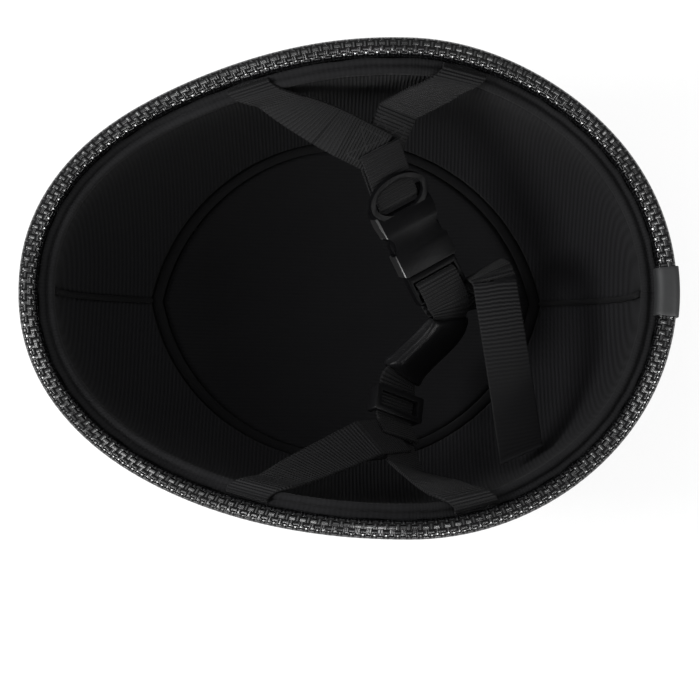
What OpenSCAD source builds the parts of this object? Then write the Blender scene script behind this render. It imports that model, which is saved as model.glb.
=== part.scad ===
/* [Shell] */
// Length over the edge trim, brow to nape
helmet_l = 283.8; // [270:0.1:296]
// Width over the edge trim, ear to ear
helmet_w = 212; // [202:1:222]
// Height of the brow edge over the crown
brow_h = 122; // [119:1:128]
// Height of the nape edge over the crown
nape_h = 126; // [119:1:132]
// Height of the ear lobes over the crown
ear_h = 147; // [140:1:156]
// Place of the ear lobes, measured back from the middle
ear_x = 12; // [4:1:24]
// Half length of one ear lobe along the edge
ear_half = 104; // [90:1:116]
// Level at which the walls become upright
upright_h = 102; // [94:1:103]
// Place of the widest section, measured back from the middle
widest_x = 26; // [16:1:34]
// Place of the crown point, measured back from the middle
crown_x = 4; // [-4:1:12]
// Fullness of the shell's side profile, 2 is an ellipse
fullness = 2.12; // [2:0.01:2.3]
// Thickness of the moulded shell
shell_t = 3.5; // [2.5:0.1:4.5]
// Depth of the flat left on the crown by the moulding
crown_flat = 0.35; // [0.2:0.05:0.6]

/* [Impact liner and linings] */
// Thickness of the foam liner at the edge
liner_edge_t = 4.8; // [4.4:0.1:6]
// Thickness of the foam liner at the crown
liner_crown_t = 18; // [12:0.5:24]
// Drop of the foam liner below the edge
liner_drop = 14; // [13:0.5:15]
// Thickness of the ribbed side linings
lining_t = 3; // [2:0.1:4]
// Thickness of the padded crown lining
crown_pad_t = 4.6; // [3:0.1:6]
// Half length of the crown lining, point to point
crown_half_l = 89; // [80:1:94]
// Half width of the crown lining
crown_half_w = 74; // [64:1:78]
// Middle of the crown lining, measured back from the middle
crown_mid_x = -1; // [-5:1:5]
// Diameter of the corded piping
piping_d = 3.4; // [2.6:0.1:4.2]
// Width of the rolled hem
hem_w = 3.6; // [3:0.1:4.4]
// Height of the rolled hem
hem_h = 5.4; // [4.4:0.1:6.4]
// Drop of the hem's top below the edge
hem_drop = 6.6; // [6.2:0.1:8]

/* [Edge trim] */
// Wall of the rubber trim
trim_wall = 2.2; // [1.6:0.1:2.8]
// Length of the trim's outer leg
trim_outer_leg = 11; // [9:0.5:13]
// Length of the trim's inner leg
trim_inner_leg = 8; // [6:0.5:9]
// Radius of the trim's upper corners
trim_r = 3; // [2:0.1:3.6]
// Length of the sleeve over the trim's joint
clip_l = 22; // [16:1:28]
// Wall of the sleeve
clip_wall = 1.2; // [0.9:0.1:1.6]

/* [Straps] */
// Width of the webbing
strap_w = 20; // [18:0.5:21]
// Thickness of the webbing
strap_t = 1.5; // [1.2:0.1:1.8]
// Place along the edge where the left front strap comes over the hem
left_front_a = 115.2; // [111:0.1:118]
// Place along the edge where the left rear strap comes over the hem
left_rear_a = 76.5; // [72:0.1:80]
// Place along the edge where the right front strap comes over the hem
right_front_a = 245.3; // [242:0.1:250]
// Place along the edge where the right rear strap comes over the hem
right_rear_a = 286.6; // [282:0.1:290]
// Depth of the strap rivets below the edge
rivet_drop = 27; // [25:0.5:29]
// Diameter of a rivet's shank
rivet_d = 4; // [3.2:0.1:4.8]
// Diameter of a rivet's head
rivet_head_d = 11; // [9:0.5:13]
// Left meeting point of the straps: back, inward and down from the hem
left_yoke = [15.4, 31, 31.1]; // [0:1:90]
// Right meeting point of the straps: back, inward and down from the hem
right_yoke = [22, 25.4, 48.9]; // [0:1:90]
// Gap between the end of the free tail and the lining
tail_gap = 5.6; // [4:0.2:12]

/* [Buckle and slider] */
// Length of the buckle's receiving half
female_l = 34; // [30:0.5:36]
// Width of the buckle
buckle_w = 28; // [26:0.5:31]
// Thickness of the buckle
buckle_t = 9.4; // [8.6:0.1:10.6]
// Length of the base of the plug half
male_l = 15.4; // [15:0.1:18]
// Thickness of the base of the plug half
male_t = 6; // [5:0.1:7]
// Length of a latch button
button_l = 8.4; // [7:0.1:9]
// Width of the slider
slider_w = 26.4; // [24.8:0.1:29]
// Length of the slider
slider_l = 12; // [11:0.1:14]

/* [Hidden] */

// Clearances: trim on shell, between layers, round webbing, between moving pieces
fit = 0.05;
layer = 0.45;
ease = 0.25;
gap = 0.3;

// Insets from the trim's outer face, measured at the edge
shell_out = trim_wall + fit;
shell_in = shell_out + shell_t;
trim_w = shell_in + fit + trim_wall;
liner_out = shell_in + layer;
liner_in = liner_out + liner_edge_t;
lining_out = liner_in + layer;
lining_in = lining_out + lining_t;
hem_out = lining_out - ease;

// Heights of the same faces over the crown
liner_low = shell_t + layer;
liner_high = liner_low + liner_crown_t;
lining_low = liner_high + layer;
lining_high = lining_low + lining_t;
pad_high = lining_low + crown_pad_t;

steps = 64;
low_rings = 10;
first_angle = 5;

function unit(v) = v / norm(v);
function mix(a, b, k) = a + (b - a) * k;
function flat(lists) = [for (list = lists) for (item = list) item];
function smooth(k) = k * k * (3 - 2 * k);

// Plan of the bowl: r is 0 at the crown and 1 on the upright wall, a runs round from the nape
function mid_x(r) = mix(crown_x, widest_x, r * r);
function front_reach(r) = helmet_l / 2 + (widest_x + clip_wall / 2) * r * r;
function back_reach(r) = helmet_l / 2 - (widest_x + clip_wall / 2) * r * r;
function plan(inset, r, a) = let (
    c = cos(a),
    s = sin(a),
    power = c < 0 ? 2 / (2 + 0.15 * r * r) : 1,
    reach = (c < 0 ? front_reach(r) : back_reach(r)) - inset)
    [mid_x(r) + r * reach * sign(c) * pow(abs(c), power),
     r * (helmet_w / 2 - inset) * sign(s) * pow(abs(s), power)];

// Side profile of the bowl: height for a radius, and radius for a height
function level(r, low) = upright_h - (upright_h - low) * pow(1 - pow(min(r, 1), fullness), 1 / fullness);
function radius(z, low) = z >= upright_h ? 1
    : pow(1 - pow((upright_h - z) / (upright_h - low), fullness), 1 / fullness);
function on_wall(inset, low, a, z) = let (p = plan(inset, radius(z, low), a)) [p[0], p[1], z];
function on_bowl(inset, low, a, r) = let (p = plan(inset, r, a)) [p[0], p[1], level(r, low)];

// Height of the edge all round
function edge(a) = let (
    x = plan(0, 1, a)[0],
    base = mix(brow_h, nape_h, smooth(min(1, max(0, x / helmet_l + 0.5)))),
    k = min(1, abs(x - ear_x) / ear_half))
    base + (ear_h - base) * (1 + cos(180 * k)) / 2;

// One ring of a bowl's face, from the crown (0) to its upper edge
function bowl_radius(i) = pow(sin(mix(first_angle, 90, i / low_rings)), 2 / fullness);
function bowl_ring(inset, low, drop, i) = [for (k = [0:steps - 1]) let (a = 360 * k / steps)
    i <= low_rings ? on_bowl(inset, low, a, bowl_radius(i)) : on_wall(inset, low, a, edge(a) - drop)];

// A closed skin through rings of points, with strips over its ends
module skin(rings, loop = false, fan = false) {
    n = len(rings[0]);
    m = len(rings);
    last = (m - 1) * n;
    polyhedron(points = flat(rings), faces = concat(
        [for (i = [0:m - (loop ? 1 : 2)]) for (j = [0:n - 1]) for (half = [0, 1]) let (
            a = i * n + j,
            b = i * n + (j + 1) % n,
            c = (i + 1) % m * n + (j + 1) % n,
            d = (i + 1) % m * n + j)
            half == 0 ? [a, d, c] : [a, c, b]],
        loop ? [] : fan ? [[for (j = [0:n - 1]) j], [for (j = [n - 1:-1:0]) last + j]] : flat(
            [for (j = [0:n / 2 - 2]) [[j, j + 1, n - 2 - j], [j, n - 2 - j, n - 1 - j],
                [last + j + 1, last + j, last + n - 2 - j], [last + n - 2 - j, last + j, last + n - 1 - j]]])));
}

module bowl(outer, outer_low, inner, inner_low, drop) {
    top = low_rings + 1;
    skin(concat(
        [for (i = [0:top]) bowl_ring(outer, outer_low, drop, i)],
        [for (i = [top:-1:0]) bowl_ring(inner, inner_low, drop, i)]), fan = true);
}

// Corners of a flat ribbon along a path, with the way its width points at each step
function tangent(path, i) = unit(path[min(i + 1, len(path) - 1)] - path[max(i - 1, 0)]);
function across(path, hints, i) = let (d = tangent(path, i)) unit(hints[i] - (hints[i] * d) * d);
function section(path, hints, i, outline, slant = 0, ruled = false) = let (
    way = tangent(path, i),
    side = ruled ? unit(hints[i]) : across(path, hints, i))
    [for (p = outline) path[i] + (side + way * slant) * p[0] + unit(cross(way, side)) * p[1]];
function ribbon_outline(w, t) = [[w / 2, t / 2], [-w / 2, t / 2], [-w / 2, -t / 2], [w / 2, -t / 2]];
module ribbon(path, hints, w = strap_w, t = strap_t, slant = 0, ruled = false) {
    last = len(path) - 1;
    skin([for (i = [0:last]) section(path, hints, i, ribbon_outline(w, t), i == last ? slant : 0, ruled)]);
}
function round_outline(w, t, r, per) = flat([for (corner = [0:3]) let (
    cx = (corner == 0 || corner == 3 ? 1 : -1) * (w / 2 - r),
    cy = (corner < 2 ? 1 : -1) * (t / 2 - r))
    [for (k = [0:per]) [cx + r * cos(90 * corner + 90 * k / per), cy + r * sin(90 * corner + 90 * k / per)]]]);

function oval(l, w) = [for (k = [0:47]) [l / 2 * cos(360 * k / 48), w / 2 * sin(360 * k / 48)]];

// Places a piece in a frame given by its origin and three directions
module place(at, x, y, z) {
    multmatrix([[x[0], y[0], z[0], at[0]], [x[1], y[1], z[1], at[1]], [x[2], y[2], z[2], at[2]], [0, 0, 0, 1]])
        children();
}

// The straps' pockets: each is a frame on the edge, with the way along it, inward and up the wall
function edge_point(a) = let (p = plan(0, 1, a)) [p[0], p[1], edge(a)];
function along(a) = unit(edge_point(a + 0.5) - edge_point(a - 0.5));
function inward(a) = let (e = along(a)) unit([-e[1], e[0], 0]);

pocket_gap = 0.75;
pocket_in = shell_in + pocket_gap + strap_t / 2;
throat_in = trim_w + 0.85 + strap_t / 2;
hem_in = hem_out + hem_w;
crest_rise = 0.95 + strap_t / 2 - hem_drop;
strap_in = hem_in + 1.5 + strap_t / 2;
pocket_route = [
    [pocket_in, -rivet_drop - 8], [pocket_in, -rivet_drop], [pocket_in, -rivet_drop + 6],
    [throat_in, -hem_drop - hem_h - 2], [throat_in + 0.1, crest_rise - 1.6], [hem_out, crest_rise - 0.1],
    [(hem_out + hem_in) / 2, crest_rise], [hem_in + 0.4, crest_rise - 0.4], [strap_in, crest_rise - 2.6],
    [strap_in + 2, -hem_drop - hem_h]];
over_hem = len(pocket_route) - 1;
strap_lean = 9;

// Meeting points of the left and right straps
function crest(a) = pocket_point(a, 6);
function meeting(front_a, rear_a, place) = let (c = (crest(front_a) + crest(rear_a)) / 2, s = sign(c[1]))
    [place[0], c[1] - s * place[1], c[2] - place[2]];
left_meet = meeting(left_front_a, left_rear_a, left_yoke);
right_meet = meeting(right_front_a, right_rear_a, right_yoke);

// Way down the wall from the edge, square to it
function degree(a) = norm(edge_point(a + 0.5) - edge_point(a - 0.5));
function wall_a(a, rise) = a - along(a)[2] * rise / degree(a) / norm([along(a)[0], along(a)[1]]);
function wall_point(a, inset, rise) = let (e = along(a), p = plan(inset, 1, wall_a(a, rise)))
    [p[0], p[1], edge(a) + norm([e[0], e[1]]) * rise];
function pocket_point(a, i) = wall_point(a, pocket_route[i][0], pocket_route[i][1]);

// Past the hem's crest a strap leans along the edge, towards the other strap of its pair
function leaning(a, i) = a + sign(sin(2 * a)) * strap_lean * pow(max(0, i - 5) / (over_hem - 5), 1.6) / degree(a);

// A strap's end lies flat in its pocket, on the rivet
function pocket_inward(a) = inward(wall_a(a, -rivet_drop));
function pocket(a) = let (
    q = pocket_inward(a),
    middle = pocket_point(a, 1),
    d = in_plane(pocket_point(a, 3) - middle, q))
    concat([middle - d * 8, middle, middle + d * 6], [for (i = [3:over_hem]) pocket_point(leaning(a, i), i)]);
function pocket_end(a) = pocket_point(leaning(a, over_hem), over_hem);
function in_plane(d, face) = unit(d - (d * face) * face);
function facing(front_a, rear_a, meet) = let (
    n = unit(cross(meet - pocket_end(front_a), meet - pocket_end(rear_a))))
    n[2] < 0 ? -n : n;

// Sewn ends lie in a plane that holds the width of the piece they carry, turned part of the way to its face
function lap_plane(face, v, n) = unit(mix(unit(face - (face * v) * v), n, 0.35));

// The buckle's frame: u runs from the left meeting point to the chin, v across, n out of the bowl
buckle_u = unit([0.44, -0.865, -0.24]);
buckle_roll = 12;
flat_v = -unit(cross(buckle_u, [0, 0, 1]));
flat_n = cross(buckle_u, flat_v);
buckle_v = flat_v * cos(buckle_roll) - flat_n * sin(buckle_roll);
buckle_n = cross(buckle_u, buckle_v);
left_face = lap_plane(facing(left_front_a, left_rear_a, left_meet), buckle_v, buckle_n);
yoke_u = in_plane(buckle_u, left_face);
yoke_l = 17;
yoke_bend = acos(yoke_u * buckle_u);
loop_bar = left_meet + yoke_u * yoke_l;
loop_bar_u = 17;
buckle_at = loop_bar - buckle_u * loop_bar_u;
function in_buckle(u, v, n) = buckle_at + buckle_u * u + buckle_v * v + buckle_n * n;
function beside_buckle(p) = buckle_at + buckle_u * p[0] + flat_v * p[1] + flat_n * p[2];

// The slider's frame, and the way the chin strap lies between the right straps
ply = strap_t + 0.1;
layers = 1.5 * ply;
slider_u = unit([-0.1, -0.93, 0.3]);
slider_side = [0.8, -0.1, -0.6];
slider_v = in_plane(slider_side, slider_u);
slider_n = cross(slider_u, slider_v);
right_face = lap_plane(facing(right_front_a, right_rear_a, right_meet), slider_v, slider_n);
seam_u = in_plane(slider_u, right_face);
seam_at = right_meet + right_face * ply;
slider_at = seam_at - seam_u * 8 - slider_u * (slider_l / 2 + 2);

// Strap: [place on the edge, meeting point, how far short of it, lift off the straps' plane, plane's normal]
strap_over = 0.5;
strap_lap = 19;
function strap_path(strap) = let (
    route = pocket(strap[0]),
    start = route[over_hem],
    end = strap[1] - strap[2] + strap[4] * strap[3],
    d = in_plane(end - start, strap[4]),
    bend = end - d * (strap_lap + 1.5))
    concat(route, [mix(start, bend, 0.25), mix(start, bend, 0.6), mix(start, bend, 0.9), bend, end - d * strap_lap,
        end + d * strap_over]);
function strap_hints(strap) = let (
    route = pocket(strap[0]),
    e = along(strap[0]),
    rise = unit(route[1] - route[0]),
    side = unit(cross(strap[4], strap[1] - strap[2] - route[over_hem])),
    way = side * e < 0 ? -side : side)
    concat([for (i = [0:2]) cross(pocket_inward(strap[0]), rise)],
        [for (i = [3:over_hem]) along(wall_a(leaning(strap[0], i), pocket_route[i][1]))],
        [mix(e, way, 0.25), mix(e, way, 0.6), mix(e, way, 0.9), way, way, way]);

lap_back = yoke_u * 6.5;
straps = [
    [left_front_a, left_meet, lap_back, ply / 2, left_face], [left_rear_a, left_meet, lap_back, -ply / 2, left_face],
    [right_front_a, right_meet, lap_back * 0, 0, right_face], [right_rear_a, right_meet, lap_back * 0, -ply, right_face]];

// Buckle: ring, bars, mouth and latches along u
ring_out = 13;
ring_in = 7.8;
ring_w = 29;
ring_bar = 2.6;
loop_bar_d = 2 * (layers - strap_t / 2 - 0.12);
mouth_u = loop_bar_u + female_l;
male_u = mouth_u + gap + 0.1;
male_end = male_u + male_l;
slot_w = strap_w + 1.6;
mouth_w = buckle_w - 6.8;
mouth_t = buckle_t - 3.4;
latch_u = mouth_u - 1;
latch_v = mouth_w / 2 - 2.6;
latch_r = 1.3;
latch_t = mouth_t - 0.8;
button_u = latch_u - 18.8;
slot_a = male_u + 3;
slot_l = 3.6;
strap_clear = male_t / 2 + 0.15 + strap_t / 2;

module outer_shell() color([0.05, 0.05, 0.055]) {
    top = trim_wall + fit;
    difference() {
        bowl(shell_out, -crown_flat, shell_in, shell_t, top);
        translate([-helmet_l, -helmet_w, -helmet_w]) cube([2 * helmet_l, 2 * helmet_w, helmet_w]);
        for (strap = straps) rivet_frame(strap) cylinder(h = 4 * shell_t, d = rivet_d + 2 * fit, center = true, $fn = 32);
    }
}

module impact_liner() color([0.2, 0.2, 0.21]) {
    difference() {
        bowl(liner_out, liner_low, liner_in, liner_high, liner_drop);
        for (strap = straps) strap_pocket(strap);
    }
}

// Room in the foam for a strap's end, its rivet and its washer
module strap_pocket(strap) {
    low = pocket(strap[0])[0];
    high = pocket(strap[0])[3];
    d = unit(high - low);
    q = pocket_inward(strap[0]);
    side = unit(cross(q, d));
    place(low - d * 4, d, side, cross(d, side))
        translate([0, -strap_w / 2 - 2, -8]) cube([norm(high - low) + 14, strap_w + 4, 20]);
}

module edge_trim() color([0.09, 0.09, 0.095]) {
    w = trim_w;
    r = trim_r;
    k = r * (1 - cos(45));
    inner = trim_wall;
    profile = [
        [0, -trim_outer_leg], [0, -r], [k, -k], [r, 0], [w - r, 0], [w - k, -k], [w, -r], [w, -trim_inner_leg],
        [w - inner, -trim_inner_leg], [w - inner, -r], [w - inner, -inner], [inner, -inner], [inner, -r],
        [inner, -trim_outer_leg]];
    stops = concat([trim_seam], [for (k = [1:steps - 1]) 360 * k / steps], [360 - trim_seam]);
    skin([for (k = [len(stops) - 1:-1:0]) edge_section(stops[k], profile)]);
}
trim_seam = 0.35;
clip_half = asin(clip_l / helmet_w);
function edge_section(a, profile) = [for (p = profile) let (f = plan(p[0], 1, a)) [f[0], f[1], edge(a) + p[1]]];

module trim_clip() color([0.16, 0.16, 0.17]) {
    w = trim_w + fit;
    c = clip_wall;
    r = trim_r;
    ri = r * (1 - cos(45));
    ro = ri - c * cos(45);
    out = trim_outer_leg + 1;
    in = trim_inner_leg + 2.5;
    profile = [
        [-c, -out], [-c, -r], [ro, -ro], [r, c], [w - r, c], [w - ro, -ro], [w + c, -r], [w + c, -in],
        [w, -in], [w, -r], [w - ri, fit - ri], [w - r, fit], [r, fit], [ri - fit, fit - ri], [-fit, -r], [-fit, -out]];
    turn = 360 / steps;
    stops = clip_half > turn ? [clip_half, turn, 0, -turn, -clip_half] : [clip_half, 0, -clip_half];
    skin([for (a = stops) edge_section(a, profile)]);
}

// Border of the crown lining: two arcs that meet in points at the brow and the nape
arc_r = (crown_half_l * crown_half_l + crown_half_w * crown_half_w) / (2 * crown_half_w);
function past_border(r, a) = let (p = plan(liner_in, r, a))
    norm([p[0] - crown_mid_x, abs(p[1]) + arc_r - crown_half_w]) - arc_r;
function border(a, low = 0.2, high = 1, i = 16) = let (m = (low + high) / 2)
    i == 0 ? m : past_border(m, a) > 0 ? border(a, low, m, i - 1) : border(a, m, high, i - 1);
piping_room = (piping_d / 2 + ease) / (helmet_w / 2 - lining_in);

// Rows of the side linings, from the crown piping up to the hem
lining_rows = 3;
wall_z = 76;
function lining_point(inset, low, a, i) = i <= lining_rows
    ? on_bowl(inset, low, a, mix(border(a) + piping_room, radius(wall_z, low), i / lining_rows))
    : on_wall(inset, low, a, mix(wall_z, edge(a) - hem_drop - hem_h - ease, i / lining_rows - 1));

module side_lining(start) {
    count = steps / 2;
    seam = 0.15;
    skin([for (k = [count:-1:0]) let (a = start + mix(seam, 180 - seam, k / count)) concat(
        [for (i = [0:2 * lining_rows]) lining_point(lining_out, lining_low, a, i)],
        [for (i = [2 * lining_rows:-1:0]) lining_point(lining_in, lining_high, a, i)])]);
}
module left_side_lining() color([0.1, 0.1, 0.11]) side_lining(0);
module right_side_lining() color([0.1, 0.1, 0.11]) side_lining(180);

module crown_lining() color([0.07, 0.07, 0.075]) {
    count = 48;
    rings = 5;
    pad_in = lining_out + crown_pad_t;
    skin(concat(
        [for (i = [0:rings]) [for (k = [0:count - 1]) let (a = 360 * k / count)
            on_bowl(lining_out, lining_low, a, (border(a) - piping_room) * mix(0.08, 1, i / rings))]],
        [for (i = [rings:-1:0]) [for (k = [0:count - 1]) let (a = 360 * k / count, j = i / rings)
            on_bowl(pad_in, mix(pad_high, lining_high, j * j * j), a, (border(a) - piping_room) * mix(0.08, 1, j))]]),
        fan = true);
}

// Corded seam between the side linings, from the crown piping up to the hem
module seam_cord(a) {
    lift = ease + piping_d / 2;
    path = [for (i = [0:2 * lining_rows]) lining_point(lining_in + lift, lining_high + lift, a, i)];
    outline = [for (j = [0:5]) [cos(60 * j), sin(60 * j)] * piping_d / 2];
    skin([for (i = [0:len(path) - 1]) section(path, [for (p = path) [0, 1, 0]], i, outline)]);
}

module crown_piping() color([0.12, 0.12, 0.13]) {
    seam_cord(0);
    seam_cord(180);
    count = 56;
    raise = layer + piping_d / 2;
    path = [for (k = [0:count - 1]) let (a = 360 * k / count) on_bowl(liner_in + raise, liner_high + raise, a, border(a))];
    skin([for (k = [0:count - 1]) let (
        d = unit(path[(k + 1) % count] - path[(k + count - 1) % count]),
        side = unit(cross(d, [0, 0, 1])),
        up = cross(side, d))
        [for (j = [0:5]) path[k] + (side * cos(60 * j) - up * sin(60 * j)) * piping_d / 2]], loop = true);
}

module lining_hem() color([0.11, 0.11, 0.12]) {
    c = hem_w / 3;
    profile = [
        [hem_out, -hem_drop - hem_h + c], [hem_out, -hem_drop - c], [hem_out + c, -hem_drop], [hem_in - c, -hem_drop],
        [hem_in, -hem_drop - c], [hem_in, -hem_drop - hem_h + c], [hem_in - c, -hem_drop - hem_h],
        [hem_out + c, -hem_drop - hem_h]];
    skin([for (k = [steps - 1:-1:0]) edge_section(360 * k / steps, profile)], loop = true);
}

module strap(strap) color([0.13, 0.13, 0.135]) {
    difference() {
        ribbon(strap_path(strap), strap_hints(strap), ruled = true);
        rivet_frame(strap) cylinder(h = 30, d = rivet_d + 2 * fit, center = true, $fn = 32);
    }
}
module left_front_strap() strap(straps[0]);
module left_rear_strap() strap(straps[1]);
module right_front_strap() strap(straps[2]);
module right_rear_strap() strap(straps[3]);

// A rivet's frame: x along the edge, z out through the shell, origin on the shell's inner face
module rivet_frame(strap) {
    z = -pocket_inward(strap[0]);
    x = in_plane(along(strap[0]), z);
    place(wall_point(strap[0], shell_in, -rivet_drop), x, cross(z, x), z) children();
}

module strap_rivets() color([0.08, 0.08, 0.085]) for (strap = straps) rivet_frame(strap) {
    head = 1.3;
    neck = pocket_gap + strap_t + washer_t + 0.1;
    base = shell_t + 0.12;
    rotate_extrude($fn = 48) polygon([
        [0, -neck - 0.9], [rivet_d * 0.6, -neck - 0.9], [rivet_d * 0.8, -neck - 0.5], [rivet_d * 0.8, -neck],
        [rivet_d / 2, -neck], [rivet_d / 2, base], [rivet_head_d / 2, base], [rivet_head_d / 2, base + 0.3],
        [rivet_head_d * 0.4, base + 0.8], [rivet_head_d * 0.25, base + head - 0.15], [0, base + head]]);
}

washer_t = 1;
module rivet_washers() color([0.35, 0.35, 0.36]) for (strap = straps) rivet_frame(strap)
    translate([0, 0, -pocket_gap - strap_t - washer_t - 0.05]) difference() {
        cylinder(h = washer_t, d = rivet_d * 2.4, $fn = 48);
        translate([0, 0, -1]) cylinder(h = washer_t + 2, d = rivet_d + 2 * fit, $fn = 32);
    }

module left_yoke_loop() color([0.12, 0.12, 0.125]) {
    start = left_meet - yoke_u * 10;
    turn = [for (k = [90:-30:-90]) loop_bar + yoke_u * layers * cos(k) + left_face * layers * sin(k)];
    route = concat([start + left_face * layers], turn, [start - left_face * layers]);
    ribbon(route, [for (p = route) buckle_v]);
}

module female_buckle() color([0.06, 0.06, 0.065]) place(buckle_at, buckle_u, buckle_v, buckle_n) {
    half = buckle_w / 2;
    start = loop_bar_u - 1.5;
    body_l = mouth_u - start;
    difference() {
        union() {
            // Oval ring, raised over the webbing that it guards
            translate([loop_bar_u, 0, 0]) rotate([0, yoke_bend, 0])
                translate([(ring_in - ring_out) / 2, 0, layers + strap_t / 2 + gap])
                    linear_extrude(ring_bar) difference() {
                        polygon(oval(ring_out + ring_in, ring_w));
                        polygon(oval(ring_out + ring_in - 2 * ring_bar, ring_w - 2 * ring_bar));
                    }
            difference() {
                intersection() {
                    translate([start, 0, -buckle_t / 2]) linear_extrude(buckle_t) polygon([
                        [0, -half + 1], [2.5, -half], [10, -half], [14, -half + 0.6], [body_l - 1, -half + 0.6],
                        [body_l, -half + 1.6], [body_l, half - 1.6], [body_l - 1, half - 0.6], [14, half - 0.6],
                        [10, half], [2.5, half], [0, half - 1]]);
                    translate([start, half + 1, 0]) rotate([90, 0, 0]) linear_extrude(buckle_w + 2) polygon([
                        [0, -1.6], [3, -3.4], [8, -buckle_t / 2], [body_l, -buckle_t / 2 + 0.3], [body_l, buckle_t / 2 - 0.3],
                        [body_l - 8, buckle_t / 2], [12, buckle_t / 2], [8, buckle_t / 2 - 0.5], [4.5, 3], [2.5, 1.6], [0, 1.6]]);
                }
                // Passage of the webbing round its bar
                translate([start - 1, -slot_w / 2, -buckle_t]) cube([1 + 6.9, slot_w, 2 * buckle_t]);
            }
        }
        // Mouth, side windows and thumb scallops
        translate([mouth_u - 27, -mouth_w / 2, -mouth_t / 2]) cube([30, mouth_w, mouth_t]);
        for (side = [-1, 1]) {
            translate([button_u - 0.5, side > 0 ? mouth_w / 2 - 1 : -buckle_w, -mouth_t / 2])
                cube([button_l + 1, buckle_w - mouth_w / 2 + 1, mouth_t]);
            translate([button_u + button_l / 2, side * (half + 2.6), -buckle_t]) cylinder(h = 2 * buckle_t, r = 5.6, $fn = 48);
        }
    }
    translate([loop_bar_u, slot_w / 2 + 1, 0]) rotate([90, 0, 0]) cylinder(h = slot_w + 2, d = loop_bar_d, $fn = 32);
}

module male_buckle() color([0.065, 0.065, 0.07]) place(buckle_at, buckle_u, buckle_v, buckle_n) {
    half = buckle_w / 2 - 1.6;
    difference() {
        intersection() {
            translate([male_u, 0, -male_t / 2]) linear_extrude(male_t) polygon([
                [0, -half], [male_l - 3.4, -half], [male_l - 1, -half + 1], [male_l, -half + 3.4],
                [male_l, half - 3.4], [male_l - 1, half - 1], [male_l - 3.4, half], [0, half]]);
            translate([male_u, half + 1, 0]) rotate([90, 0, 0]) linear_extrude(2 * half + 2) polygon([
                [0, -male_t / 2], [male_l - 2, -male_t / 2], [male_l, -male_t / 2 + 1.6], [male_l, male_t / 2 - 1.6],
                [male_l - 2, male_t / 2], [0, male_t / 2]]);
        }
        for (at = [slot_a, slot_a + slot_l + 2.6])
            translate([at, -slot_w / 2, -male_t]) cube([slot_l, slot_w, 2 * male_t]);
    }
    // Guide tongue in the mouth
    translate([mouth_u - 19, -2.2, -mouth_t / 2 + 0.9]) cube([20.4, 4.4, mouth_t - 1.8]);
}

module latch(side) place(buckle_at, buckle_u, buckle_v, buckle_n) {
    out = buckle_w / 2 - 1.4 - latch_v;
    translate([latch_u, side * latch_v, -latch_t / 2]) mirror([0, side < 0 ? 1 : 0, 0]) linear_extrude(latch_t) union() {
        circle(r = latch_r, $fn = 24);
        polygon([
            [0, -latch_r], [0, latch_r], [button_u + button_l - latch_u - 1.5, latch_r],
            [button_u + button_l - latch_u, latch_r + 0.4], [button_u + button_l - latch_u, out - 0.8],
            [button_u + button_l - latch_u - 0.8, out], [button_u - latch_u + 3.4, out], [button_u - latch_u + 1, out - 1.6],
            [button_u - latch_u, out - 4], [button_u - latch_u + 1.2, -latch_r]]);
    }
}
module front_latch() color([0.07, 0.07, 0.075]) latch(-1);
module rear_latch() color([0.07, 0.07, 0.075]) latch(1);

// Route of the chin webbing beside the buckle, from the tail's fold back to the slot: u, v, n
tail_loop = [
    [68.6, 23, 7.6], [66.5, 23.4, 5.6], [65.6, 23.3, 1], [65.5, 22.6, -6], [67, 21, -13.5], [71, 18, -19.5],
    [76.5, 14, -20.5], [80, 9.5, -16], [79, 5.5, -10], [74.5, 2, -6]];
chin_out = in_buckle(male_end + 2, 0, strap_clear);
chin_bend = slider_at - slider_u * 9;
function bezier(a, b, c, d, k) = a * pow(1 - k, 3) + b * 3 * k * pow(1 - k, 2) + c * 3 * k * k * (1 - k) + d * pow(k, 3);
function chin_curve(k) = bezier(chin_out, chin_out + buckle_u * 16, chin_bend - slider_u * 14, chin_bend, k);
chin_side = [-0.62, 0.1, 0.78];
function chin_hint(k) = k < 0.5 ? mix(-buckle_v, chin_side, smooth(min(1, k * 4)))
    : mix(chin_side, -slider_v, smooth(max(0, k * 4 - 3)));
chin_steps = 16;
slot_u = slot_a + slot_l / 2;
wrap = [
    in_buckle(male_end + 2, 0, -strap_clear), in_buckle(slot_u + 1.6, 0, -strap_clear),
    in_buckle(slot_u + 0.3, 0, -strap_clear + 0.7), in_buckle(slot_u, 0, -strap_clear + 2),
    in_buckle(slot_u, 0, strap_clear - 2), in_buckle(slot_u + 0.3, 0, strap_clear - 0.7),
    in_buckle(slot_u + 1.6, 0, strap_clear)];
chin_route = concat(
    [for (p = tail_loop) beside_buckle(p)],
    wrap,
    [for (k = [0:chin_steps]) chin_curve(k / chin_steps)],
    [slider_at + slider_u * (slider_l / 2 + 1), seam_at - seam_u * 4, seam_at, seam_at + seam_u * 3]);
chin_hints = concat(
    [for (p = tail_loop) -buckle_v],
    [for (p = wrap) -buckle_v],
    [for (k = [0:chin_steps]) chin_hint(k / chin_steps)],
    [-slider_v, -slider_v, -slider_v, -slider_v]);

module chin_strap() color([0.13, 0.13, 0.135]) ribbon(chin_route, chin_hints);

module chin_pad() color([0.1, 0.1, 0.105]) {
    pad_t = 9.4;
    first = len(tail_loop) + len(wrap) + 4;
    last = first + 10;
    outer = round_outline(strap_w + 5, pad_t, pad_t / 2 - 0.6, 2);
    inner = round_outline(strap_w + 1, strap_t + 2.4, 0.6, 2);
    skin(concat(
        [for (i = [first:last]) section(chin_route, chin_hints, i, outer)],
        [for (i = [last:-1:first]) section(chin_route, chin_hints, i, inner)]), loop = true);
}

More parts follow.
